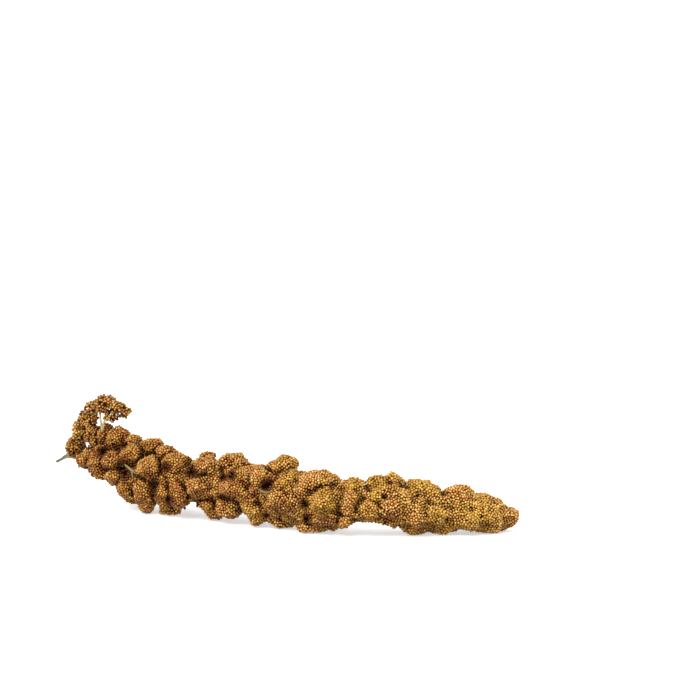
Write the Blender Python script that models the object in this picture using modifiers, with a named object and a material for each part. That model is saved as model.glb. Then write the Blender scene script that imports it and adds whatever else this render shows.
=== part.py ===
"""Foxtail millet seed head, cut and lying on its side.

A spike of grain lobes, thickest near the cut end, bends along the surface it lies on. A looser
side branch rises at the cut end, where the bare straw-green stalk forks. Every lobe carries its
grains as raised relief, larger than life. Metres, +Z up, +X from the cut end to the tip; the
constants are millimetres and degrees. The front of the head faces -Y, a little from above.
"""

import math
import random

import bmesh
import bpy
from mathutils import Matrix, Vector, noise

MM = 0.001
BOX_MIDDLE = Vector((-0.3, -6.2, 0))  # of the whole head in the numbers below; the origin lies under it

# Stations of the spike: x, y and z of its middle line, and its radius.
SPIKE = [
    (-112, 37, 23.5, 8),
    (-101, 30, 25.5, 13),
    (-86, 20, 22.5, 18),
    (-71, 10, 19.5, 18.5),
    (-54, 0, 18.5, 18),
    (-27, -15, 19.0, 17),
    (-1, -30, 19.0, 18),
    (24, -43.5, 15.5, 17),
    (45, -48.5, 17.0, 12.5),
    (62, -49, 16.5, 14),
    (76, -48.5, 12.5, 12.3),
    (92, -47, 11.0, 11.5),
    (108, -45, 10.5, 11.5),
    (120, -43, 7.5, 7),
    (127, -42, 7.0, 4),
]

# The lobes that face front: place along X and rise above the middle line as seen from the front,
# half length, half width, and the turn of the length from X.
FRONT_RISE = 12  # degrees above the horizon that the front is seen from
FRONT_LOBES = [
    (-109, -1.5, 3.5, 3, 0),
    (-103, 9.5, 8, 4.5, 100),
    (-102, -4, 8, 4.5, 110),
    (-92, 0.5, 5.5, 5, 0),
    (-91, -6, 5.5, 5, 20),
    (-90, 13.5, 7, 6, 60),
    (-84, -11.5, 7.5, 5, 130),
    (-82, 7.5, 6, 5, 30),
    (-74, -9.5, 10.5, 5.5, 100),
    (-72, 14.5, 6.5, 5, 20),
    (-71, 4.5, 7, 5.5, 20),
    (-63, -5, 6.5, 4.5, 100),
    (-62, 13, 5.5, 4.5, 0),
    (-61, -15, 7, 6.5, 0),
    (-56, 8.5, 7, 6, 0),
    (-54, -5.5, 6.5, 4.5, 75),
    (-43, -2, 7, 6.5, 0),
    (-40, 9, 6.5, 4.5, 20),
    (-36, -12.5, 6.5, 5, 0),
    (-25, 11, 8, 6.5, 10),
    (-25, -10.5, 7.5, 5.5, 0),
    (-21, -0.5, 10, 5, 0),
    (-12, -10.5, 8.5, 6, 120),
    (-8, 6, 5.5, 4.5, 0),
    (0, -14.5, 6.5, 4.5, 160),
    (2, 12.5, 8.5, 6, 20),
    (3, -3.5, 9, 6.5, 150),
    (19, -12, 8, 5.5, 0),
    (21, 9.5, 9.5, 6, 10),
    (25, 0, 8.5, 7.5, 0),
    (36, -8.5, 4, 3, 70),
    (38, 0, 6.5, 4.5, 80),
    (41, 8, 6, 4.5, 0),
    (49, -3, 6.5, 6, 0),
    (53, 9, 6.5, 4, 0),
    (60, -2, 7, 6, 0),
    (62, 11.5, 5, 4, 0),
    (72, -9.5, 6.5, 4, 0),
    (73, -3, 7, 6.5, 0),
    (76, 10, 10, 5.5, 172),
    (84, -1, 6.5, 6, 0),
    (88, -7.5, 7.5, 5, 170),
    (96, 6, 9, 7.5, 0),
    (102, -2.5, 8, 6.5, 0),
    (112, 3, 7.5, 6, 160),
    (114, -4, 6, 5, 0),
    (122, 1, 6.5, 5, 0),
]

# The lobes of the raised side branch: middle, half length, half width, turn of the length from X.
BRANCH_LOBES = [
    (-116.5, 41, 30.5, 6, 5.2, 60),
    (-112.5, 38.5, 39, 6.5, 5.5, 70),
    (-107, 34, 38.5, 5, 4.5, 0),
    (-108, 36, 46, 6, 5.2, 60),
    (-105, 34, 53, 5.5, 4.5, 70),
    (-98, 30, 56.5, 5.5, 5, 0),
    (-92, 28, 54, 5.5, 4.2, 160),
    (-87, 28, 51.5, 4, 3.2, 0),
    (-95, 27, 49.5, 3.5, 3, 60),
]

# The lobes that face back stand in a golden-angle spiral.
BACK_LOBE = (7.2, 5.6)  # half length and half width where the spike is 17 mm in radius
BACK_STEP = 4.9  # along X from one turn of the spiral to the next
BACK_FROM = 84  # degrees round from the front
CORE_SHARE = 0.6  # of the spike's radius
CORE_STEP = 9

LOBE_SIDES = 14
LOBE_ROUGHNESS = 0.8  # how far a lobe's skin wanders from an ellipsoid
GRAIN_PITCH = 3.6
GRAIN_HEIGHT = 1.2
SEED = 7

STALK_GAP = 0.35
STALK_SIDES = 8
STALK_ARMS = [
    # Points along the middle, and the radius at each.
    [(-128, 50, 19.6, 0.8), (-124.5, 47, 21.9, 0.85), (-121.3, 44.2, 23.9, 1.25), (-117, 41, 23.8, 1.0),
     (-112, 37, 23.2, 0.9), (-106, 33, 23.5, 0.85), (-99, 29, 24.5, 0.8)],
    [(-122, 44.6, 23.6, 0.9), (-119.6, 43, 27, 0.95), (-117, 41.4, 31.5, 0.85), (-114, 39.4, 37, 0.8)],
]
BRANCHLET_ARMS = [
    [(-98.6, 27.5, 34, 0.75), (-99.4, 27.2, 40, 0.7), (-100.4, 28.8, 46, 0.6), (-101.4, 30.4, 54, 0.55)],
    [(-99.5, 27.2, 40.5, 0.65), (-98.6, 26.8, 46, 0.6), (-96.6, 27.8, 53, 0.55)],
]

SEED_COLOUR = (0.36, 0.165, 0.035, 1)
STALK_COLOUR = (0.33, 0.27, 0.11, 1)

FACE_ORDER = Vector((1, 10, 100))  # the direction along which a new sphere's faces are numbered
NOISE_SCALE = 7
NOISE_SHIFTS = [Vector((0, 0, 50 * i)) for i in range(3)]
ALONG = Vector((1, 0, 0))
UP = Vector((0, math.sin(math.radians(FRONT_RISE)), math.cos(math.radians(FRONT_RISE))))
FRONT = Vector((0, -math.cos(math.radians(FRONT_RISE)), math.sin(math.radians(FRONT_RISE))))


def spike_at(x):
    """Middle point and radius of the spike at a place along X."""
    for low, high in zip(SPIKE, SPIKE[1:]):
        if x <= high[0] or high is SPIKE[-1]:
            t = (x - low[0]) / (high[0] - low[0])
            _, y, z, radius = (a + (b - a) * t for a, b in zip(low, high))
            return Vector((x, y, z)), radius


def front_lobe(x, rise, half_length, half_width, turn):
    """An ellipsoid as its middle and its three half axes, set out to the spike's skin on the front."""
    middle, radius = spike_at(x)
    reach = max(radius - 0.85 * half_width, 0)
    depth = math.sqrt(max(reach**2 - rise**2, 0))
    half_depth = half_width + 0.35 * depth
    centre = middle + rise * UP + (depth + half_width - half_depth) * FRONT
    return centre, *turned_axes(half_length, half_width, half_depth, turn)


def turned_axes(half_length, half_width, half_depth, turn):
    t = math.radians(turn)
    length = math.cos(t) * ALONG + math.sin(t) * UP
    width = math.cos(t) * UP - math.sin(t) * ALONG
    return length * half_length, width * half_width, FRONT * half_depth


def branch_lobe(x, y, z, half_length, half_width, turn):
    return Vector((x, y, z)), *turned_axes(half_length, half_width, half_width, turn)


def back_lobes():
    """Lobes over the back and the underside, each leaning a little towards the tip."""
    draw = random.Random(SEED)
    turn = 0.0
    x = SPIKE[0][0] + 4
    while x < SPIKE[-1][0] - 6:
        middle, radius = spike_at(x)
        turn = (turn + 137.5 + draw.uniform(-14, 14)) % 360
        if BACK_FROM < turn < 360 - BACK_FROM:
            share = (0.45 + 0.55 * radius / 17) * draw.uniform(0.88, 1.12)
            half_length, half_width = (share * size for size in BACK_LOBE)
            t = math.radians(turn)
            out = (math.cos(t) * FRONT + math.sin(t) * UP + draw.uniform(0, 0.5) * ALONG).normalized()
            across = out.cross(ALONG).normalized()
            centre = middle + out * (radius * draw.uniform(0.94, 1.06) - half_length)
            yield centre, across.cross(out) * half_width, across * half_width, out * half_length
        x += BACK_STEP * radius / 17


def lobe_mesh(centre, length, width, depth):
    mesh = bmesh.new()
    bmesh.ops.create_uvsphere(mesh, u_segments=LOBE_SIDES, v_segments=LOBE_SIDES // 2, radius=1)
    mesh.faces.sort(key=lambda f: f.calc_center_median().dot(FACE_ORDER))
    place = Matrix((length, width, depth)).transposed()
    for v in mesh.verts:
        v.co = centre + place @ v.co
        v.co += LOBE_ROUGHNESS * Vector([noise.noise(v.co / NOISE_SCALE + shift) for shift in NOISE_SHIFTS])
    return mesh


def add_object(mesh, name, collection):
    """Puts a bmesh in millimetres into the scene in metres, about the box's middle."""
    bmesh.ops.translate(mesh, vec=-BOX_MIDDLE, verts=mesh.verts)
    bmesh.ops.scale(mesh, vec=(MM, MM, MM), verts=mesh.verts)
    bmesh.ops.recalc_face_normals(mesh, faces=mesh.faces)
    data = bpy.data.meshes.new(name)
    mesh.to_mesh(data)
    mesh.free()
    obj = bpy.data.objects.new(name, data)
    collection.objects.link(obj)
    return obj


def tube(name, arm, collection, swell=0.0):
    """A tube with a radius for each of its points, closed and made a mesh."""
    curve = bpy.data.curves.new(name, "CURVE")
    curve.dimensions = "3D"
    curve.bevel_depth = MM
    curve.bevel_resolution = STALK_SIDES // 4
    curve.use_fill_caps = True
    spline = curve.splines.new("POLY")
    arm = list(arm)
    spline.points.add(len(arm) - 1)
    for knot, (x, y, z, radius) in zip(spline.points, arm):
        knot.co = (x * MM, y * MM, z * MM, 1)
        knot.radius = radius + swell
    line = bpy.data.objects.new(name + "_line", curve)
    collection.objects.link(line)
    graph = bpy.context.evaluated_depsgraph_get()
    data = bpy.data.meshes.new_from_object(line.evaluated_get(graph))
    bpy.data.objects.remove(line)
    mesh = bmesh.new()
    mesh.from_mesh(data)
    bpy.data.meshes.remove(data)
    bmesh.ops.remove_doubles(mesh, verts=mesh.verts, dist=0.01 * MM)
    bmesh.ops.scale(mesh, vec=(1 / MM, 1 / MM, 1 / MM), verts=mesh.verts)
    return add_object(mesh, name, collection)


def boolean(target, operation, operands):
    """Joins the operands to the target or cuts them from it, applied, with the operands removed."""
    modifier = target.modifiers.new(operation.title(), "BOOLEAN")
    modifier.operation = operation
    modifier.solver = "EXACT"
    modifier.operand_type = "COLLECTION"
    modifier.collection = operands
    graph = bpy.context.evaluated_depsgraph_get()
    result = bpy.data.meshes.new_from_object(target.evaluated_get(graph))
    target.modifiers.clear()
    target.data = result
    for obj in list(operands.objects):
        bpy.data.objects.remove(obj)
    bpy.data.collections.remove(operands)


def keep_largest_shell(obj):
    """Fills the hollows that the union sealed and drops loose scraps: only the outer skin stays."""
    mesh = bmesh.new()
    mesh.from_mesh(obj.data)
    unseen = set(mesh.verts)
    shells = []
    while unseen:
        queue = [unseen.pop()]
        shell = set(queue)
        while queue:
            for edge in queue.pop().link_edges:
                for v in edge.verts:
                    if v in unseen:
                        unseen.remove(v)
                        shell.add(v)
                        queue.append(v)
        shells.append(shell)
    largest = max(shells, key=len)
    bmesh.ops.delete(mesh, geom=[v for v in mesh.verts if v not in largest], context="VERTS")
    mesh.to_mesh(obj.data)
    mesh.free()


def raise_grains(obj):
    """Evens out the joined lobes into a net of squares and raises a grain on each."""
    modifier = obj.modifiers.new("Net", "REMESH")
    modifier.mode = "VOXEL"
    modifier.voxel_size = GRAIN_PITCH * MM
    graph = bpy.context.evaluated_depsgraph_get()
    result = bpy.data.meshes.new_from_object(obj.evaluated_get(graph))
    obj.modifiers.clear()
    mesh = bmesh.new()
    mesh.from_mesh(result)
    bmesh.ops.poke(mesh, faces=mesh.faces[:], offset=GRAIN_HEIGHT * MM, center_mode="MEAN")
    mesh.to_mesh(obj.data)
    mesh.free()


def new_collection(name, helper=False):
    made = bpy.data.collections.new(name)
    bpy.context.scene.collection.children.link(made)
    made.hide_render = helper
    return made


def floor_cutter(collection):
    mesh = bmesh.new()
    bmesh.ops.create_cube(mesh, size=1)
    bmesh.ops.scale(mesh, vec=(400, 300, 20), verts=mesh.verts)
    bmesh.ops.translate(mesh, vec=(0, 0, -10), verts=mesh.verts)
    return add_object(mesh, "floor_cutter", collection)


def core_arm():
    """A smaller core along the middle line, which the lobes stand out of."""
    first, last = SPIKE[0][0] + 3, SPIKE[-1][0] - 4
    count = round((last - first) / CORE_STEP)
    for i in range(count + 1):
        middle, radius = spike_at(first + (last - first) * i / count)
        yield *middle, CORE_SHARE * radius


def build_seed_head(parts):
    lobes = [front_lobe(*row) for row in FRONT_LOBES]
    lobes += [branch_lobe(*row) for row in BRANCH_LOBES]
    lobes += back_lobes()
    head = tube("seed_head", core_arm(), parts)
    repeats = new_collection("lobes", helper=True)
    for i, lobe in enumerate(lobes):
        add_object(lobe_mesh(*lobe), f"lobe_{i:03d}", repeats)
    boolean(head, "UNION", repeats)
    keep_largest_shell(head)
    raise_grains(head)
    keep_largest_shell(head)

    cutters = new_collection("cutters", helper=True)
    floor_cutter(cutters)
    for i, arm in enumerate(STALK_ARMS + BRANCHLET_ARMS):
        tube(f"socket_{i}", arm, cutters, swell=STALK_GAP)
    boolean(head, "DIFFERENCE", cutters)
    keep_largest_shell(head)
    return head


def build_stalk(name, arms, parts):
    first, *others = arms
    stalk = tube(name, first, parts)
    repeats = new_collection(name + "_arms", helper=True)
    for i, arm in enumerate(others):
        tube(f"{name}_arm_{i}", arm, repeats)
    boolean(stalk, "UNION", repeats)
    return stalk


def give_material(obj, colour, roughness):
    material = bpy.data.materials.new(obj.name)
    material.use_nodes = True
    shader = material.node_tree.nodes["Principled BSDF"]
    shader.inputs["Base Color"].default_value = colour
    shader.inputs["Roughness"].default_value = roughness
    obj.data.materials.clear()
    obj.data.materials.append(material)


def main():
    for obj in list(bpy.data.objects):
        bpy.data.objects.remove(obj)
    parts = new_collection("millet_seed_head")
    give_material(build_seed_head(parts), SEED_COLOUR, 0.45)
    give_material(build_stalk("stalk", STALK_ARMS, parts), STALK_COLOUR, 0.6)
    give_material(build_stalk("branchlet", BRANCHLET_ARMS, parts), STALK_COLOUR, 0.6)


main()
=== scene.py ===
import math
import random

import bmesh
import bpy
import numpy as np
from mathutils import Matrix, Vector, noise
from mathutils.bvhtree import BVHTree
from mathutils.kdtree import KDTree


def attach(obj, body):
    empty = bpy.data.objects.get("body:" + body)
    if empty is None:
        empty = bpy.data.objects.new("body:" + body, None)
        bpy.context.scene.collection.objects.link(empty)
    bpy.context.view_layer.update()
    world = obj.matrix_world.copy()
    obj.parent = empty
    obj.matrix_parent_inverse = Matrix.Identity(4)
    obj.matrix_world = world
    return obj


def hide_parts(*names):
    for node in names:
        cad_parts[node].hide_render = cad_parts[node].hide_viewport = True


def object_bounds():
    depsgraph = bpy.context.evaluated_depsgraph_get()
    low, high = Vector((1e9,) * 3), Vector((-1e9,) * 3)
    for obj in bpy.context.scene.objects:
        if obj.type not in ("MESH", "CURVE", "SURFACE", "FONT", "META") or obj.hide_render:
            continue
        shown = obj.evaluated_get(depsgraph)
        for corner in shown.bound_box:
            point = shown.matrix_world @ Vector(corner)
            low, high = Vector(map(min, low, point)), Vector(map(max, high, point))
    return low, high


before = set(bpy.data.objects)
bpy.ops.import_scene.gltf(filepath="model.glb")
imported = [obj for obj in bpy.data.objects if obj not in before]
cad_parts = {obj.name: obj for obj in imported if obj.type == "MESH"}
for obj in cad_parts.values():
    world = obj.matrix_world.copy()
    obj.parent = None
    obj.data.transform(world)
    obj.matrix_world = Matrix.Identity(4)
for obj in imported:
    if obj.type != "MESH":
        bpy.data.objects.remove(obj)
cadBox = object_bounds()
mm = 0.001


# Node trees, for shaders and for geometry, written as plain expressions.
class Value:
    def __init__(self, nodes, socket):
        self.nodes, self.socket = nodes, socket

    def math(self, operation, *values):
        return self.nodes.node("ShaderNodeMath", {"operation": operation}, *values)

    def __add__(self, other):
        return self.math("ADD", self, other)

    def __sub__(self, other):
        return self.math("SUBTRACT", self, other)

    def __rsub__(self, other):
        return self.math("SUBTRACT", other, self)

    def __mul__(self, other):
        return self.math("MULTIPLY", self, other)

    __radd__, __rmul__ = __add__, __mul__


class Nodes:
    def __init__(self, tree):
        self.tree = tree

    def feed(self, socket, value):
        if isinstance(value, Value):
            self.tree.links.new(value.socket, socket)
        elif value is not None:
            socket.default_value = value

    def node(self, kind, settings=None, *values, out=0, **named):
        made = self.tree.nodes.new(kind)
        for key, value in (settings or {}).items():
            if key == "stops":  # a ramp's places and colours
                elements = made.color_ramp.elements
                while len(elements) < len(value):
                    elements.new(1)
                for element, (place, colour) in zip(elements, value):
                    element.position, element.color = place, colour
            else:
                setattr(made, key, value)
        sockets = [socket for socket in made.inputs if socket.enabled]
        for socket, value in zip(sockets, values):
            self.feed(socket, value)
        for key, value in named.items():
            label = key.replace("_", " ")
            self.feed(next(socket for socket in sockets if socket.name == label), value)
        if isinstance(out, str):
            return Value(self, made.outputs[out])
        return Value(self, [socket for socket in made.outputs if socket.enabled][out])


class Finish(Nodes):  # one Principled material
    def __init__(self, name, **constants):
        self.material = bpy.data.materials.new(name)
        self.material.use_nodes = True
        super().__init__(self.material.node_tree)
        self.wear(**constants)

    def wear(self, **sockets):
        shader = self.tree.nodes["Principled BSDF"]
        for key, value in sockets.items():
            self.feed(shader.inputs[key.replace("_", " ")], value)

    def attribute(self, name):
        return self.node("ShaderNodeAttribute", {"attribute_name": name}, out="Fac")

    def noise(self, scale, stretch=(1, 1, 1), detail=2.0):
        spot = self.node("ShaderNodeTexCoord", out="Object")
        spot = self.node("ShaderNodeMapping", None, spot, Scale=stretch)
        return self.node("ShaderNodeTexNoise", None, Vector=spot, Scale=scale, Detail=detail)

    def ramp(self, value, *stops):
        return self.node("ShaderNodeValToRGB", {"stops": stops}, value)

    def between(self, low, high, value):  # 0 below low and 1 above high
        return self.node("ShaderNodeMapRange", {"interpolation_type": "SMOOTHSTEP"}, value, low, high)

    def mixed(self, share, first, second):
        return self.node("ShaderNodeMix", {"data_type": "RGBA"}, share, first, second)

    def bump(self, height, strength, distance):
        return self.node("ShaderNodeBump", None, Strength=strength, Distance=distance, Height=height)


class Recipe(Nodes):  # a Geometry Nodes tree with named inputs
    def __init__(self, name, **inputs):
        group = bpy.data.node_groups.new(name, "GeometryNodeTree")
        super().__init__(group)
        group.interface.new_socket("Geometry", in_out="OUTPUT", socket_type="NodeSocketGeometry")
        self.identifiers = {}
        for label, kind in {"Geometry": "Geometry", **inputs, "Skin": "Material"}.items():
            socket = group.interface.new_socket(label, in_out="INPUT", socket_type="NodeSocket" + kind)
            self.identifiers[label] = socket.identifier
        self.entry = group.nodes.new("NodeGroupInput")
        self.exit = group.nodes.new("NodeGroupOutput")

    def given(self, label):
        return Value(self, self.entry.outputs[label])

    def attribute(self, name, kind="FLOAT"):
        return self.node("GeometryNodeInputNamedAttribute", {"data_type": kind}, name)

    def serve(self, shape):
        shape = self.node("GeometryNodeRealizeInstances", None, shape)
        shape = self.node("GeometryNodeSetMaterial", None, shape, Material=self.given("Skin"))
        self.feed(self.exit.inputs[0], shape)

    def make(self, name, start, **values):
        thing = asObject(name, start)
        modifier = thing.modifiers.new(name, "NODES")
        modifier.node_group = self.tree
        for label, value in values.items():
            modifier[self.identifiers[label]] = value
        return settled(thing)


def asObject(name, mesh):
    made = bpy.data.objects.new(name, mesh)
    bpy.context.scene.collection.objects.link(made)
    return made


def settled(thing):  # the object with its modifiers worked into a plain mesh
    graph = bpy.context.evaluated_depsgraph_get()
    thing.data = bpy.data.meshes.new_from_object(
        thing.evaluated_get(graph), preserve_all_data_layers=True, depsgraph=graph)
    thing.modifiers.clear()
    thing.data.shade_smooth()
    return thing


def fromBmesh(name, mesh):
    data = bpy.data.meshes.new(name)
    mesh.to_mesh(data)
    mesh.free()
    return data


def join(piece, slot, *replaced):
    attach(piece, "root")
    if replaced:
        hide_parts(*replaced)
    print(piece.name, sum(len(face.vertices) - 2 for face in piece.data.polygons), "triangles")


# The head's form, in millimetres. The shift puts the middle of its box over the origin.
head = {
    "shift": Vector((0.3, 6.2, 0)),
    "spike": [  # x, y and z of the middle line, and the radius
        (-112, 37, 23.5, 8), (-101, 30, 25.5, 13), (-86, 20, 22.5, 18), (-71, 10, 19.5, 18.5),
        (-54, 0, 18.5, 18), (-27, -15, 19, 17), (-1, -30, 19, 18), (24, -43.5, 15.5, 17),
        (45, -48.5, 17, 12.5), (62, -49, 16.5, 14), (76, -48.5, 12.5, 12.3), (92, -47, 11, 11.5),
        (108, -45, 10.5, 11.5), (120, -43, 7.5, 7), (127, -42, 7, 4),
    ],
    "frontRise": 12,  # degrees above the horizon that the front is seen from
    "frontLobes": [  # x, rise above the middle line, half length, half width, turn of the length
        (-110.2, -1.3, 4.4, 3.2, 0), (-103, 9.5, 8, 4.5, 100), (-102, -4, 8, 4.5, 110),
        (-92, 0.5, 5.5, 5, 0), (-91, -6, 5.5, 5, 20), (-90, 13.5, 7, 6, 60), (-84, -11.5, 7.5, 5, 130),
        (-82, 7.5, 6, 5, 30), (-98, 13, 6.5, 4.2, 85), (-74, -9.5, 10.5, 5.5, 100), (-72, 14.5, 6.5, 5, 20),
        (-71, 4.5, 7, 5.5, 20), (-62.5, -8.5, 8, 4.4, 98), (-62, 13, 5.5, 4.5, 0), (-59.2, -15.5, 6.2, 5, 0),
        (-56, 8.5, 7, 6, 0), (-54.5, -6.2, 8.6, 4.7, 88), (-43, -2, 7, 6.5, 0), (-40, 9, 6.5, 4.5, 20),
        (-35, -11.8, 8.5, 5.2, 0), (-25, 11, 8, 6.5, 10), (-25, -10.5, 7.5, 5.5, 0), (-21, -0.5, 10, 5, 0),
        (-12, -10.5, 8.5, 6, 120), (-8, 6, 5.5, 4.5, 0), (0, -14.5, 6.5, 4.5, 160), (2, 12.5, 8.5, 6, 20),
        (3, -3.5, 9, 6.5, 150), (19, -12, 8, 5.5, 0), (21, 9.5, 9.5, 6, 10), (25, 0, 8.5, 7.5, 0),
        (36, -8.5, 4, 3, 70), (38, 0, 6.5, 4.5, 80), (41, 8, 6, 4.5, 0), (49, -3, 6.5, 6, 0),
        (53, 9, 6.5, 4, 0), (60, -2, 7, 6, 0), (62, 11.5, 5, 4, 0), (72, -9.5, 6.5, 4, 0),
        (73, -3, 7, 6.5, 0), (76, 10, 10, 5.5, 172), (84, -1, 6.5, 6, 0), (88, -7.5, 7.5, 5, 170),
        (96, 6, 9, 7.5, 0), (102, -2.5, 8, 6.5, 0), (112, 3, 7.5, 6, 160), (114, -4, 6, 5, 0),
        (121.2, 1, 6, 4.4, 0),
    ],
    "branchLobes": [  # middle, half length, half width, turn
        (-116.1, 41, 30.3, 6.2, 5.4, 60), (-112.5, 38.5, 39, 6.5, 5.5, 70), (-107, 34, 38.5, 5, 4.5, 0),
        (-108, 36, 46, 6, 5.2, 60), (-105, 34, 53, 5.5, 4.5, 70), (-98, 30, 56.5, 5.5, 5, 0),
        (-92, 28, 54, 5.5, 4.2, 160), (-87, 28, 51.5, 4, 3.2, 0), (-95, 27, 49.5, 3.5, 3, 60),
    ],
    "fullness": 1.14,  # of the front lobes' length and width
    "frontInset": 0.85,  # how far a front lobe's middle lies inside the spike's radius, in half widths
    "frontRoots": 0.35,  # what its half depth gains inwards, as a share of its middle's depth
    "spiral": {  # lobes in a golden-angle spiral: half length, half width, step, seed, share of the radius
        "back": (7.2, 5.6, 4.9, 7, 1.03),
        "fill": (7.0, 5.5, 2.9, 3, 0.92),
    },
    "spiralRule": {
        "ends": (7, 6),  # room left at the cut end and at the tip
        "turn": 137.5,  # degrees, the golden angle
        "turnSpread": 14,
        "usualRadius": 17,  # the spike's radius where a lobe has its full size
        "growth": (0.45, 0.55),  # the part of a lobe's size that stays, and the part that follows the radius
        "sizes": (0.88, 1.12),  # smallest and largest draw
        "reaches": (0.94, 1.06),  # the same for how far out a lobe's end lies
        "lean": 0.5,  # the most that a lobe leans towards the tip
    },
    "backFrom": 84,  # degrees round from the front, where the "fill" lobes give way to the "back" ones
    "lumps": [(9, 1.5), (4, 1.3)],  # size and height of the unevenness over all the lobes
    "lumpsApart": 50,  # between the places where the three directions read their noise
    "gaps": [  # deep dark clefts in the front: x, y, z and radius
        (-86.5, 8.2, 25.4, 3.8), (-84.5, 7, 22, 3.2), (-98.1, 20.7, 30.8, 3.4), (-68.5, -5.9, 18.2, 3),
        (-59, -9.7, 10, 2.6), (-47.7, -14.1, 27, 3), (-5.6, -40.1, 24.7, 3.2), (14.2, -50.5, 16.6, 2.6),
        (15.8, -49.8, 8.9, 2.2), (-37, -31, 14, 2.4), (56.7, -57, 21.5, 1.5), (-61.5, -9.2, 28.3, 2.6),
        (-68.5, -5.6, 13.1, 2.4), (-24.9, -26.5, 26.8, 2.4), (-29.3, -24.3, 25.2, 2),
    ],
    "gapDepth": 6,
    "gapStretch": 0.7,  # share of the way along the view that isn't counted, so that a gap runs deep
    "gapFar": 9.0,  # radii, where every gap counts as far away
    "arches": [  # where the head stands clear of the floor: middle along x, half width and height
        (-104, 23, 15.8), (-46, 9.5, 9.3), (-5, 7, 3), (49, 21, 7.6), (99, 11, 3.2),
    ],
    "coreShare": (0.64, 0.9),  # of the spike's radius, filled under the lobes at the cut end and at the tip
    "coreStep": 4,
}
along = Vector((1, 0, 0))
rise = math.radians(head["frontRise"])
upward = Vector((0, math.sin(rise), math.cos(rise)))
frontward = Vector((0, -math.cos(rise), math.sin(rise)))


def spikeAt(x):
    for low, high in zip(head["spike"], head["spike"][1:]):
        if x <= high[0] or high is head["spike"][-1]:
            t = (x - low[0]) / (high[0] - low[0])
            _, y, z, radius = (a + (b - a) * t for a, b in zip(low, high))
            return Vector((x, y, z)), radius


def turnedAxes(halfLength, halfWidth, halfDepth, turn):
    t = math.radians(turn)
    length = math.cos(t) * along + math.sin(t) * upward
    width = math.cos(t) * upward - math.sin(t) * along
    return length * halfLength, width * halfWidth, frontward * halfDepth


def frontLobe(x, lift, halfLength, halfWidth, turn):
    middle, radius = spikeAt(x)
    halfLength, halfWidth = halfLength * head["fullness"], halfWidth * head["fullness"]
    reach = max(radius - head["frontInset"] * halfWidth, 0)
    depth = math.sqrt(max(reach**2 - lift**2, 0))
    halfDepth = halfWidth + head["frontRoots"] * depth
    centre = middle + lift * upward + (depth + halfWidth - halfDepth) * frontward
    return centre, *turnedAxes(halfLength, halfWidth, halfDepth, turn)


def branchLobe(x, y, z, halfLength, halfWidth, turn):
    return Vector((x, y, z)), *turnedAxes(halfLength, halfWidth, halfWidth, turn)


def spiralLobes(kind):
    fullLength, fullWidth, step, seed, reach = head["spiral"][kind]
    rule = head["spiralRule"]
    stays, grows = rule["growth"]
    draw = random.Random(seed)
    turn = 0.0
    x = head["spike"][0][0] + rule["ends"][0]
    while x < head["spike"][-1][0] - rule["ends"][1]:
        middle, radius = spikeAt(x)
        turn = (turn + rule["turn"] + draw.uniform(-rule["turnSpread"], rule["turnSpread"])) % 360
        if (head["backFrom"] < turn < 360 - head["backFrom"]) == (kind == "back"):
            share = (stays + grows * radius / rule["usualRadius"]) * draw.uniform(*rule["sizes"])
            t = math.radians(turn)
            out = math.cos(t) * frontward + math.sin(t) * upward + draw.uniform(0, rule["lean"]) * along
            out.normalize()
            across = out.cross(along).normalized()
            centre = middle + out * (reach * radius * draw.uniform(*rule["reaches"]) - share * fullLength)
            yield (centre, across.cross(out) * share * fullWidth, across * share * fullWidth,
                   out * share * fullLength)
        x += step * radius / rule["usualRadius"]


class Lobe:
    def __init__(self, place, *axes):
        self.place = place + head["shift"]
        self.form = Matrix(axes).transposed()
        self.unform = self.form.inverted()
        self.sizes = [axis.length for axis in axes]


def coreLobes():
    first, last = head["spike"][0][0] + 2 * head["coreStep"], head["spike"][-1][0] - head["coreStep"]
    low, high = head["coreShare"]
    x = first
    while x < last:
        middle, radius = spikeAt(x)
        radius *= low + (high - low) * (x - first) / (last - first)
        yield Lobe(middle, *turnedAxes(radius, radius, radius, 0))
        x += head["coreStep"]


frontLobes = [Lobe(*frontLobe(*row)) for row in head["frontLobes"]]
branchLobes = [Lobe(*branchLobe(*row)) for row in head["branchLobes"]]
lobes = frontLobes + branchLobes + [Lobe(*lobe) for kind in head["spiral"] for lobe in spiralLobes(kind)]
lobes += coreLobes()
print("form", len(lobes), "lobes")


# One skin over all the lobes, in millimetres. The grains stand on it. Over shrunken lobes it is their bed.
skin = {
    "net": 1.0,
    "rounding": 3,
    "bedNet": 1.4,
    "bedInset": 1.5,  # how much smaller all round a lobe is in the bed
    "thinnest": 1,  # least half size of a lobe
    "lowest": 0.4,  # least height above the floor
}


def lump(point):
    bent = Vector()
    for size, height in head["lumps"]:
        places = [point / size + Vector((0, 0, head["lumpsApart"] * i)) for i in range(3)]
        bent += height * Vector([noise.noise(place) for place in places])
    return bent


gaps = [(Vector(row[:3]) + head["shift"], row[3]) for row in head["gaps"]]


def toGap(point):  # 0 in the middle of the nearest gap, 1 at its rim and more beyond
    nearest = head["gapFar"]
    for place, radius in gaps:
        away = point - place
        away -= head["gapStretch"] * away.dot(frontward) * frontward
        nearest = min(nearest, away.length / radius)
    return nearest


def clearance(x):  # the least height above the floor
    arches = [height * (1 - ((x - middle) / halfWidth) ** 2) for middle, halfWidth, height in head["arches"]]
    return max(*arches, skin["lowest"])


def ballShape():
    mesh = bmesh.new()
    bmesh.ops.create_icosphere(mesh, subdivisions=3, radius=1)
    points = [v.co.copy() for v in mesh.verts]
    faces = sorted([v.index for v in face.verts] for face in mesh.faces)
    mesh.free()
    return points, faces


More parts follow.
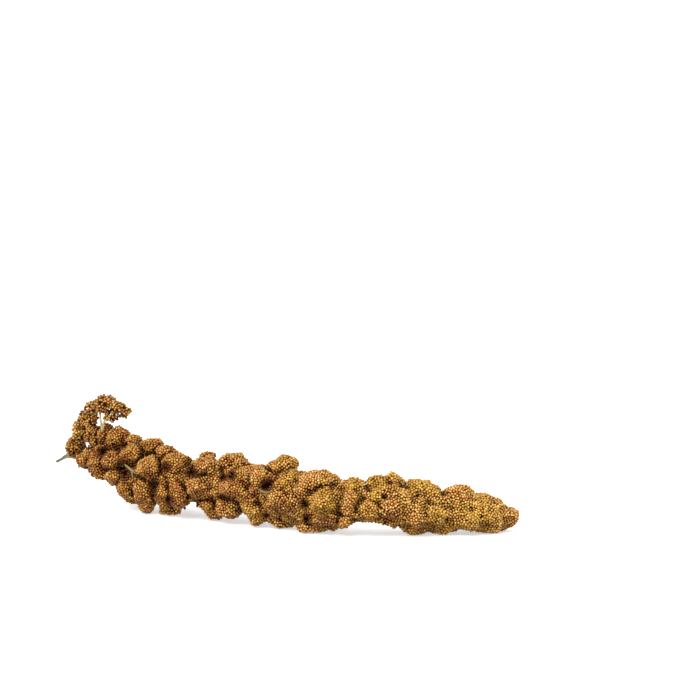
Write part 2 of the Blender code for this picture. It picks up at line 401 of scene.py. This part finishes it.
def cover(name, inset, net):
    ball, ballFaces = ballShape()
    points, faces = [], []
    for lobe in lobes:
        shrink = Matrix.Diagonal([max(size - inset, skin["thinnest"]) / size for size in lobe.sizes])
        faces += [[len(points) + i for i in face] for face in ballFaces]
        points += [lobe.place + lobe.form @ (shrink @ spot) for spot in ball]
    mesh = bpy.data.meshes.new(name)
    mesh.from_pydata(points, [], faces)
    piece = asObject(name, mesh)
    merge = piece.modifiers.new("merge", "REMESH")
    merge.mode, merge.voxel_size = "VOXEL", net
    rounding = piece.modifiers.new("rounding", "SMOOTH")
    rounding.iterations = skin["rounding"]
    settled(piece)
    for v in piece.data.vertices:
        share = max(1 - toGap(v.co) ** 2, 0)
        v.co += lump(v.co) - head["gapDepth"] * share**2 * frontward
        v.co.z = max(v.co.z, clearance(v.co.x))
    return piece


# Grains stand side by side all over the skin.
grain = {
    "spacing": 1.66,
    "halfWidth": 0.85,
    "halfLength": 1.1,
    "sink": 0.5,  # how far the middle of a grain lies under the lobe's skin
    "heights": 0.27,  # how far a grain stands out or back from its neighbours
    "branchHeights": 0.8,
    "branchMissing": 0.14,  # share of the raised branch's grains that have dropped
    "unevenness": 0.12,
    "lean": 0.35,  # radians
    "sides": 7,
    "profile": [(0.1, 0.55), (0.38, 0.97), (0.68, 0.9), (0.91, 0.47)],  # rise, radius
    "clear": 1.2,  # least height of a grain's middle above the floor, in half lengths
    "ripening": 1.6,  # how much lighter the grains get from the middle to the tip
    "gilding": 0.9,  # how much more golden
    "plump": (0.86, 1.1),  # smallest and largest, as a share of the usual size
    "density": 20.0,  # grains sown on a square millimetre before those too near each other go
    "sowing": 0.78,  # least distance of two grains as sown, as a share of the spacing
    "room": 1.1,  # distance below which two grains push each other apart, as a share of the spacing
    "push": 0.3,  # share of the push that a grain follows in one round
    "settling": 3,  # rounds
    "itself": 0.1,  # a grain found nearer than this is the same one
    "hollowWithin": 5.5,  # how far around a grain its hollow is judged
    "hollowFade": 0.45,  # how much of a hollow's painted shade is lost at the tip
    "creaseWidth": 0.32,  # in shares of a lobe's half size
    "creaseWithin": 1.5,  # how near the second lobe has to be, in the same shares
    "creaseDepth": 1.2,
    # painted shade given to a grain in a crease
    "creaseDark": 0.13,
    "creaseStrength": (0.6, 0.42),  # half way along the head, and how much less at the tip
    # painted shade given to grains round a gap
    "gapDark": 0.35,
    "gapDarkTo": 1.6,  # radii, how far round a gap the grains are darkened with painted shade
    "seed": 11,
    "zones": {"tip": 62, "waist": 25, "middle": -12, "swell": -52, "base": -999},  # the lowest x of each
}


def sowRecipe():
    recipe = Recipe("sow", Closest="Float", Seed="Int")
    given = recipe.given
    spots = recipe.node("GeometryNodeDistributePointsOnFaces", {"distribute_method": "POISSON"},
                        given("Geometry"), Distance_Min=given("Closest"), Density_Max=grain["density"],
                        Seed=given("Seed"))
    recipe.serve(recipe.node("GeometryNodePointsToVertices", None, spots))
    return recipe


def treeOf(points):
    tree = KDTree(len(points))
    for i, point in enumerate(points):
        tree.insert(point, i)
    tree.balance()
    return tree


def grainSpots(surface):  # places on the skin, and the way out of it at each
    closest = grain["sowing"] * grain["spacing"]
    sown = sowRecipe().make("sown", surface.data.copy(), Closest=closest, Seed=grain["seed"])
    spots = [(v.co.copy(), None) for v in sown.data.vertices]
    bpy.data.objects.remove(sown)
    faces = [face.vertices for face in surface.data.polygons]
    surfaceTree = BVHTree.FromPolygons([v.co for v in surface.data.vertices], faces)
    room = grain["spacing"] * grain["room"]
    for _ in range(grain["settling"]):
        tree = treeOf([point for point, _ in spots])
        moved = []
        for point, _ in spots:
            push = Vector()
            for other, _, distance in tree.find_range(point, room):
                if distance > grain["itself"]:
                    push += (point - other) / distance * (room - distance)
            moved.append(surfaceTree.find_nearest(point + grain["push"] * push)[:2])
        spots = moved
    return spots


def hollows(spots):  # from -1 on a ridge to 1 deep in a cleft
    tree = treeOf([point for point, _ in spots])
    found = []
    for point, way in spots:
        slopes = [(other - point).dot(way) / distance
                  for other, _, distance in tree.find_range(point, grain["hollowWithin"])
                  if distance > grain["itself"]]
        found.append(sum(slopes) / max(len(slopes), 1))
    return found


def owners(spots):  # the lobe that each spot belongs to, and how near the crease to the next front lobe is
    places = np.array([lobe.place for lobe in lobes])
    unforms = np.array([lobe.unform for lobe in lobes])
    away = np.array([point for point, _ in spots])[:, None] - places
    depth = np.linalg.norm(np.einsum("lij,nlj->nli", unforms, away), axis=2)
    first, second = np.sort(depth[:, :len(frontLobes)], axis=1)[:, :2].T
    crease = np.clip(1 - (second - first) / grain["creaseWidth"], 0, 1) * (second < grain["creaseWithin"])
    return zip([lobes[i] for i in depth.argmin(axis=1)], crease)


def turnedPattern(name, sides, profile, bend=0):  # from its base at -1 to its tip at 1, with its rise kept
    mesh = bmesh.new()
    level = mesh.verts.layers.float.new("rise")
    base, tip = mesh.verts.new((0, 0, -1)), mesh.verts.new((bend, 0, 1))
    tip[level] = 1
    rings = []
    for share, radius in profile:
        turns = [math.tau * i / sides for i in range(sides)]
        ring = [mesh.verts.new((radius * math.cos(t) + bend * share**2, radius * math.sin(t), 2 * share - 1))
                for t in turns]
        for v in ring:
            v[level] = share
        rings.append(ring)
    for i in range(sides):
        j = (i + 1) % sides
        mesh.faces.new((base, rings[0][j], rings[0][i]))
        mesh.faces.new((tip, rings[-1][i], rings[-1][j]))
        for low, high in zip(rings, rings[1:]):
            mesh.faces.new((low[i], low[j], high[j], high[i]))
    return asObject(name, fromBmesh(name, mesh))


def scatterRecipe():  # a copy of the pattern on each point, standing along its "outward"
    recipe = Recipe("scatter", Pattern="Object", Length="Float", Width="Float", Unevenness="Float",
                    Lean="Float", Seed="Int")
    given = recipe.given
    size = recipe.node("ShaderNodeCombineXYZ", None, given("Width"), given("Width"), given("Length"))
    uneven = recipe.node("FunctionNodeRandomValue", {"data_type": "FLOAT_VECTOR"}, 1 - given("Unevenness"),
                         1 + given("Unevenness"), Seed=given("Seed"))
    size = recipe.node("ShaderNodeVectorMath", {"operation": "MULTIPLY"}, size, uneven)
    size = recipe.node("ShaderNodeVectorMath", {"operation": "SCALE"}, size, Scale=recipe.attribute("plump"))
    upright = recipe.node("FunctionNodeAlignRotationToVector", {"axis": "Z"},
                          Vector=recipe.attribute("outward", "FLOAT_VECTOR"))
    lean = recipe.node("FunctionNodeRandomValue", {"data_type": "FLOAT_VECTOR"}, -1 * given("Lean"),
                       given("Lean"), Seed=given("Seed") + 1)
    lean = recipe.node("FunctionNodeEulerToRotation", None, lean)
    turned = recipe.node("FunctionNodeRotateRotation", {"rotation_space": "LOCAL"}, upright, lean)
    pattern = recipe.node("GeometryNodeObjectInfo", None, given("Pattern"), out="Geometry")
    placed = recipe.node("GeometryNodeInstanceOnPoints", None, given("Geometry"), Instance=pattern,
                         Rotation=turned, Scale=size)
    tint = recipe.node("FunctionNodeRandomValue", {"data_type": "FLOAT"}, 0.0, 1.0, Seed=given("Seed") + 2)
    recipe.serve(recipe.node("GeometryNodeStoreNamedAttribute", {"data_type": "FLOAT", "domain": "INSTANCE"},
                             placed, None, "tint", tint))
    return recipe


def pointsMesh(name, rows):  # rows of place, outward, and the numbers each copy carries
    mesh = bpy.data.meshes.new(name)
    mesh.from_pydata([place * mm for place, _, _ in rows], [], [])
    outward = mesh.attributes.new("outward", "FLOAT_VECTOR", "POINT")
    outward.data.foreach_set("vector", [x for _, way, _ in rows for x in way])
    for key in rows[0][2]:
        values = [carried[key] for _, _, carried in rows]
        mesh.attributes.new(key, "FLOAT", "POINT").data.foreach_set("value", values)
    return mesh


def zoneOf(point, lobe):
    if lobe in branchLobes:
        return "branch"
    return next(zone for zone, lowest in grain["zones"].items() if point.x > lowest)


def grainRows(surface):
    draw = random.Random(grain["seed"] + 1)
    tones = {lobe: (draw.uniform(-1, 1), draw.uniform(-1, 1)) for lobe in lobes}
    strength, fading = grain["creaseStrength"]
    spots = grainSpots(surface)
    rows = {}
    for (point, way), (lobe, crease), hollow in zip(spots, owners(spots), hollows(spots)):
        loose = lobe in branchLobes
        heights = grain["branchHeights"] if loose else grain["heights"]
        if draw.random() < grain["branchMissing"] and loose:
            continue
        ripeness = point.x / head["spike"][-1][0]  # 0 half way along the head and 1 at the tip
        crease *= strength - fading * ripeness
        # The hollow number carries painted shade: in clefts, in creases and round the gaps.
        hollow = hollow * (1 - grain["hollowFade"] * max(ripeness, 0)) + grain["creaseDark"] * crease
        hollow = max(hollow, grain["gapDark"] * (grain["gapDarkTo"] - toGap(point)))
        lift = draw.uniform(-heights, heights) - grain["sink"] - grain["creaseDepth"] * crease
        place = point + way * lift
        place.z = max(place.z, grain["clear"] * grain["halfLength"])
        tone, gold = tones[lobe]
        tone += grain["ripening"] * ripeness
        gold += grain["gilding"] * ripeness
        # under: how far a grain faces down, for painted shade on the underside
        carried = {"tone": tone, "gold": gold, "hollow": hollow,
                   "under": -way.z, "plump": draw.uniform(*grain["plump"])}
        rows.setdefault(zoneOf(point, lobe), []).append((place, way, carried))
    return rows


# A grain's colour: a dark body with a pale crown, which is a painted highlight, and layers of other colours
# over both, among them painted shade.
# the colour of the painted shade in the layers below
dark = (0.04, 0.006, 0.0004, 1)
ripe = {
    "shares": (0.65, 0.14, 0.5, 0.7),  # of the tint, tone, flecks and hollow in how pale a grain is; the hollow's part is painted shade
    "less": 0.18,
    "flecks": 90,  # noise scale
    "body": [(0.0, (0.09, 0.016, 0.001, 1)), (0.35, (0.20, 0.054, 0.005, 1)),
             (0.7, (0.33, 0.122, 0.013, 1)), (1.0, (0.47, 0.21, 0.03, 1))],
    # the crown's colours are a painted highlight on each grain's tip
    "crown": [(0.0, (0.39, 0.15, 0.035, 1)), (0.5, (0.70, 0.375, 0.115, 1)), (1.0, (1.0, 0.72, 0.32, 1))],
    "crownRise": (0.72, 0.98),
    "chance": 37.3,  # the tint times this, without its whole part, is a second chance number
    "layers": [  # the number that a layer follows, where it starts and is full, its share and its colour
        ("gold", -0.2, 1.4, 0.42, (0.50, 0.31, 0.03, 1)),
        ("gold", 0.0, -1.4, 0.3, (0.26, 0.09, 0.02, 1)),
        ("chance", 0.55, 1.0, 0.4, (0.50, 0.33, 0.04, 1)),
        ("chance", 0.4, 0.0, 0.35, (0.34, 0.10, 0.03, 1)),
        # painted shade: each grain darker towards its base, between its neighbours
        ("rise", 0.64, 0.25, 0.9, dark),
        # painted shade in hollows, creases and round the gaps
        ("hollow", -0.04, 0.26, 0.88, dark),
        # painted shade: grains facing down darker
        ("under", -0.1, 0.9, 0.7, dark),
    ],
    "wrinkles": 2600,  # noise scale
    "wrinkleDetail": 3.0,
    "roughness": (0.3, 0.15),  # the least, and what the wrinkles add
    "relief": (0.35, 0.00008),  # strength and height of the wrinkles
}


def ripeGrain():
    finish = Finish("ripeGrain", Specular_IOR_Level=0.2, Specular_Tint=(1, 0.7, 0.4, 1))
    names = ("tint", "tone", "gold", "hollow", "under", "rise")
    number = {name: finish.attribute(name) for name in names}
    chance = number["tint"] * ripe["chance"]
    number["chance"] = chance.math("FRACT", chance)
    tint, tone, fleck, hollow = ripe["shares"]
    # the hollow number takes paleness away as painted shade
    pale = (number["tint"] * tint + number["tone"] * tone + finish.noise(ripe["flecks"]) * fleck
            - number["hollow"] * hollow - ripe["less"])
    body, crown = finish.ramp(pale, *ripe["body"]), finish.ramp(pale, *ripe["crown"])
    # painted highlight: the crown's colour over each grain's tip
    colour = finish.mixed(finish.between(*ripe["crownRise"], number["rise"]), body, crown)
    for name, low, high, share, layer in ripe["layers"]:
        colour = finish.mixed(finish.between(low, high, number[name]) * share, colour, layer)
    wrinkle = finish.noise(ripe["wrinkles"], detail=ripe["wrinkleDetail"])
    least, added = ripe["roughness"]
    finish.wear(Base_Color=colour, Roughness=least + added * wrinkle,
                Normal=finish.bump(wrinkle, *ripe["relief"]))
    return finish.material


scatter = scatterRecipe()
pattern = turnedPattern("grainPattern", grain["sides"], grain["profile"])
grainSkin = ripeGrain()
surface = cover("surface", 0, skin["net"])
zones = grainRows(surface)
bpy.data.objects.remove(surface)
for i, (zone, rows) in enumerate(sorted(zones.items())):
    piece = scatter.make("grains_" + zone, pointsMesh("grains_" + zone, rows), Pattern=pattern,
                         Length=grain["halfLength"] * mm, Width=grain["halfWidth"] * mm,
                         Unevenness=grain["unevenness"], Lean=grain["lean"], Seed=grain["seed"] + 10 * i,
                         Skin=grainSkin)
    join(piece, "grain", "seed_head")
bpy.data.objects.remove(pattern)


# Fine bristles and loose papery husks: what a few of the grains also carry.
trimmings = {
    "bristles": {"share": 0.05, "branchShare": 0.45, "length": 2.4, "width": 0.09, "lean": 0.55, "sides": 3,
                 "bend": 5.0, "profile": [(0.05, 1.0), (0.5, 0.7)], "out": 1.6},
    "husks": {"share": 0.006, "branchShare": 0.05, "length": 0.95, "width": 0.6, "lean": 0.9, "sides": 5,
              "bend": 0.4, "profile": [(0.15, 0.5), (0.5, 1.0), (0.85, 0.6)], "out": 0.6},
    "unevenness": 0.3,
    "past": 0.8,  # how far an end may reach past the solids' box
    "lowest": 1,  # least height of an end above the floor
    "seed": 5,
}


def inBox(point):
    low, high = cadBox
    past = trimmings["past"]
    return (point.z > trimmings["lowest"]
            and all(a / mm - past < x < b / mm + past for a, x, b in zip(low, point, high)))


def paleHusk():
    finish = Finish("paleHusk", Roughness=0.6, Specular_IOR_Level=0.3)
    pale = finish.attribute("tint") * 0.7 + finish.noise(900) * 0.3
    colour = finish.ramp(pale, (0.1, (0.30, 0.17, 0.04, 1)), (0.9, (0.62, 0.42, 0.16, 1)))
    finish.wear(Base_Color=colour)
    return finish.material


huskSkin = paleHusk()
draw = random.Random(trimmings["seed"])
for kind in ("bristles", "husks"):
    size = trimmings[kind]
    rows = []
    for zone in sorted(zones):
        share = size["branchShare" if zone == "branch" else "share"]
        rows += [(place + way * size["out"], way, carried) for place, way, carried in zones[zone]
                 if draw.random() < share and inBox(place + way * (size["out"] + size["length"]))]
    pattern = turnedPattern(kind + "Pattern", size["sides"], size["profile"], size["bend"])
    piece = scatter.make("head_" + kind, pointsMesh(kind, rows), Pattern=pattern, Length=size["length"] * mm,
                         Width=size["width"] * mm, Unevenness=trimmings["unevenness"], Lean=size["lean"],
                         Seed=trimmings["seed"], Skin=huskSkin)
    join(piece, "stalk")
    bpy.data.objects.remove(pattern)


# The bed of husks and short stalks that the grains stand in, coloured near-black as painted shade in the
# clefts between grains.
def darkHusk():
    finish = Finish("darkHusk", Roughness=0.8, Specular_IOR_Level=0.1)
    fleck = finish.noise(700, detail=4.0)
    # near-black: painted shade over the husk's own flecks
    colour = finish.ramp(fleck, (0.35, (0.012, 0.004, 0.001, 1)), (0.7, (0.05, 0.018, 0.004, 1)))
    finish.wear(Base_Color=colour, Normal=finish.bump(fleck, 1.0, 0.0008))
    return finish.material


huskBed = cover("husk_bed", skin["bedInset"], skin["bedNet"])
huskBed.data.transform(Matrix.Scale(mm, 4))
huskBed.data.materials.append(darkHusk())
join(huskBed, "grain", "seed_head")


# The straw, in millimetres: the stalk and its fork, a bract at it, the small stalks of the raised branch, and
# sprigs in the clefts. Each line is a row of points, with the radius there.
straw = {
    "stalk": [
        [(-128, 50, 19.6, .8), (-124.5, 47, 21.9, .85), (-121.3, 44.2, 23.9, 1.25), (-117, 41, 23.8, 1.0),
         (-112, 37, 23.2, .9), (-106, 33, 23.5, .85), (-99, 29, 24.5, .8)],
        [(-122, 44.6, 23.6, .9), (-119.6, 43, 27, .95), (-117, 41.4, 31.5, .85), (-114, 39.4, 37, .8)],
    ],
    "bract": [
        [(-115.5, 40, 23.4, .6), (-114.4, 38.6, 22, 1.1), (-113.8, 37.8, 19.8, .9),
         (-114.4, 37.5, 18.2, .15)],
    ],
    "branchlet": [
        [(-98.6, 27.5, 34, .75), (-99.4, 27.2, 40, .7), (-100.4, 28.8, 46, .6), (-101.4, 30.4, 54, .55)],
        [(-99.5, 27.2, 40.5, .65), (-98.6, 26.8, 46, .6), (-96.6, 27.8, 53, .55)],
    ],
    "sprigs": [
        [(-86, 8, 27, .3), (-84.2, 4, 26.2, .5), (-81.8, 1.6, 24.8, .6), (-79.4, .8, 23.2, .7),
         (-77, 3, 21.5, .5)],
        [(-81.4, 1.4, 24.4, .45), (-80.9, .4, 22.6, .5), (-80.7, .8, 20.8, .4), (-80.8, 3, 19.6, .3)],
        [(-11, -36, 22.8, .3), (-9, -41, 22, .42), (-6, -43.6, 21.3, .45), (-3, -44.4, 22.4, .42),
         (-1, -42, 24.5, .3)],
    ],
    "sides": 20,
    "ridges": 7,
    "ridgeHeight": 0.07,
    "step": 0.5,
    "groove": (0.09, 0.085, 0.03, 1),  # colour between the ridges
    "olive": (0.075, 0.08, 0.04, 1),  # colour at the cut
    "oliveFrom": -120.5,
    "oliveFull": -123.5,
}


def stemRecipe():  # a ridged tube along each line, as thick as the line's "thickness"
    recipe = Recipe("stem", Sides="Int", Ridges="Float", Relief="Float", Step="Float")
    given = recipe.given
    line = recipe.node("GeometryNodeMeshToCurve", None, given("Geometry"))
    line = recipe.node("GeometryNodeCurveSplineType", {"spline_type": "CATMULL_ROM"}, line)
    line = recipe.node("GeometryNodeResampleCurve", {"mode": "LENGTH"}, line, Length=given("Step"))
    ring = recipe.node("GeometryNodeCurvePrimitiveCircle", None, given("Sides"), Radius=1.0)
    turn = recipe.node("GeometryNodeSplineParameter") * math.tau * given("Ridges")
    ridge = turn.math("COSINE", turn)
    swell = 1 + ridge * given("Relief")
    place = recipe.node("GeometryNodeInputPosition")
    place = recipe.node("ShaderNodeVectorMath", {"operation": "SCALE"}, place, Scale=swell)
    ring = recipe.node("GeometryNodeStoreNamedAttribute", {"data_type": "FLOAT"}, ring, None, "ridge", ridge)
    ring = recipe.node("GeometryNodeSetPosition", None, ring, Position=place)
    thickness = recipe.attribute("thickness")
    recipe.serve(recipe.node("GeometryNodeCurveToMesh", None, line, ring, thickness, Fill_Caps=True))
    return recipe


def linesMesh(name, arms):
    places, edges, thickness = [], [], []
    for arm in arms:
        edges += [(len(places) + i, len(places) + i + 1) for i in range(len(arm) - 1)]
        places += [(Vector(row[:3]) + head["shift"]) * mm for row in arm]
        thickness += [row[3] * mm for row in arm]
    mesh = bpy.data.meshes.new(name)
    mesh.from_pydata(places, edges, [])
    mesh.attributes.new("thickness", "FLOAT", "POINT").data.foreach_set("value", thickness)
    return mesh


def dryStraw(name, deep, pale):
    finish = Finish(name, Roughness=0.55)
    streak = finish.noise(160, stretch=(0.15, 1, 1), detail=4.0)
    colour = finish.ramp(streak, (0.3, deep), (0.7, pale))
    groove = finish.between(0.6, -0.8, finish.attribute("ridge")) * 0.5
    colour = finish.mixed(groove, colour, straw["groove"])
    spot = finish.node("ShaderNodeTexCoord", out="Object")
    x = finish.node("ShaderNodeSeparateXYZ", None, spot)
    olive = finish.between(straw["oliveFrom"] * mm, straw["oliveFull"] * mm, x)
    colour = finish.mixed(olive, colour, straw["olive"])
    finish.wear(Base_Color=colour, Roughness=0.42 + 0.3 * streak, Normal=finish.bump(streak, 0.5, 0.0002))
    return finish.material


def greenBract():
    finish = Finish("greenBract", Roughness=0.6)
    colour = finish.ramp(finish.noise(400), (0.3, (0.022, 0.028, 0.008, 1)), (0.75, (0.085, 0.095, 0.03, 1)))
    finish.wear(Base_Color=colour)
    return finish.material


stem = stemRecipe()
strawSkin = dryStraw("dryStraw", (0.12, 0.085, 0.022, 1), (0.29, 0.22, 0.07, 1))
paleSkin = dryStraw("paleStraw", (0.26, 0.20, 0.07, 1), (0.58, 0.47, 0.22, 1))
bractSkin = greenBract()
for name, replaced, stemSkin in (("stalk", ["stalk"], strawSkin), ("branchlet", ["branchlet"], paleSkin),
                                 ("sprigs", [], strawSkin), ("bract", [], bractSkin)):
    piece = stem.make("straw_" + name, linesMesh("straw_" + name, straw[name]), Sides=straw["sides"],
                      Ridges=float(straw["ridges"]), Relief=straw["ridgeHeight"], Step=straw["step"] * mm,
                      Skin=stemSkin)
    join(piece, "stalk", *replaced)


# The photograph's view, a white floor and soft light: in metres and degrees, with the lens in millimetres.
view = {"place": (0.0388, -1.3378, 0.294), "down": 8.58, "lens": 128.57, "sensor": 36}
light = {"world": 0.96, "key": 2.6, "keyWidth": 45, "keyFrom": (-0.45, -0.45, 1.1), "floor": 0.48}
floorRadius = 60  # metres


def setCamera():
    camera = bpy.data.cameras.new("camera")
    camera.lens, camera.sensor_width = view["lens"], view["sensor"]
    holder = bpy.data.objects.new("camera", camera)
    holder.location = view["place"]
    holder.rotation_euler = (math.radians(90 - view["down"]), 0, 0)
    bpy.context.scene.collection.objects.link(holder)
    bpy.context.scene.camera = holder


def setStage():
    mesh = bmesh.new()
    bmesh.ops.create_circle(mesh, cap_ends=True, segments=64, radius=floorRadius)
    floor = asObject("floor", fromBmesh("floor", mesh))
    white = Finish("whiteFloor", Base_Color=(0.9, 0.9, 0.9, 1), Roughness=0.9,
                   Emission_Strength=light["floor"])
    floor.data.materials.append(white.material)
    world = bpy.data.worlds.new("studio")
    world.use_nodes = True
    world.node_tree.nodes["Background"].inputs["Color"].default_value = (1, 1, 1, 1)
    world.node_tree.nodes["Background"].inputs["Strength"].default_value = light["world"]
    bpy.context.scene.world = world
    sun = bpy.data.lights.new("key", "SUN")
    sun.energy, sun.angle = light["key"], math.radians(light["keyWidth"])
    holder = bpy.data.objects.new("key", sun)
    holder.rotation_euler = Vector(light["keyFrom"]).to_track_quat("Z", "Y").to_euler()
    bpy.context.scene.collection.objects.link(holder)
    bpy.context.scene.view_settings.view_transform = "Standard"


setCamera()
setStage()
print("stage")
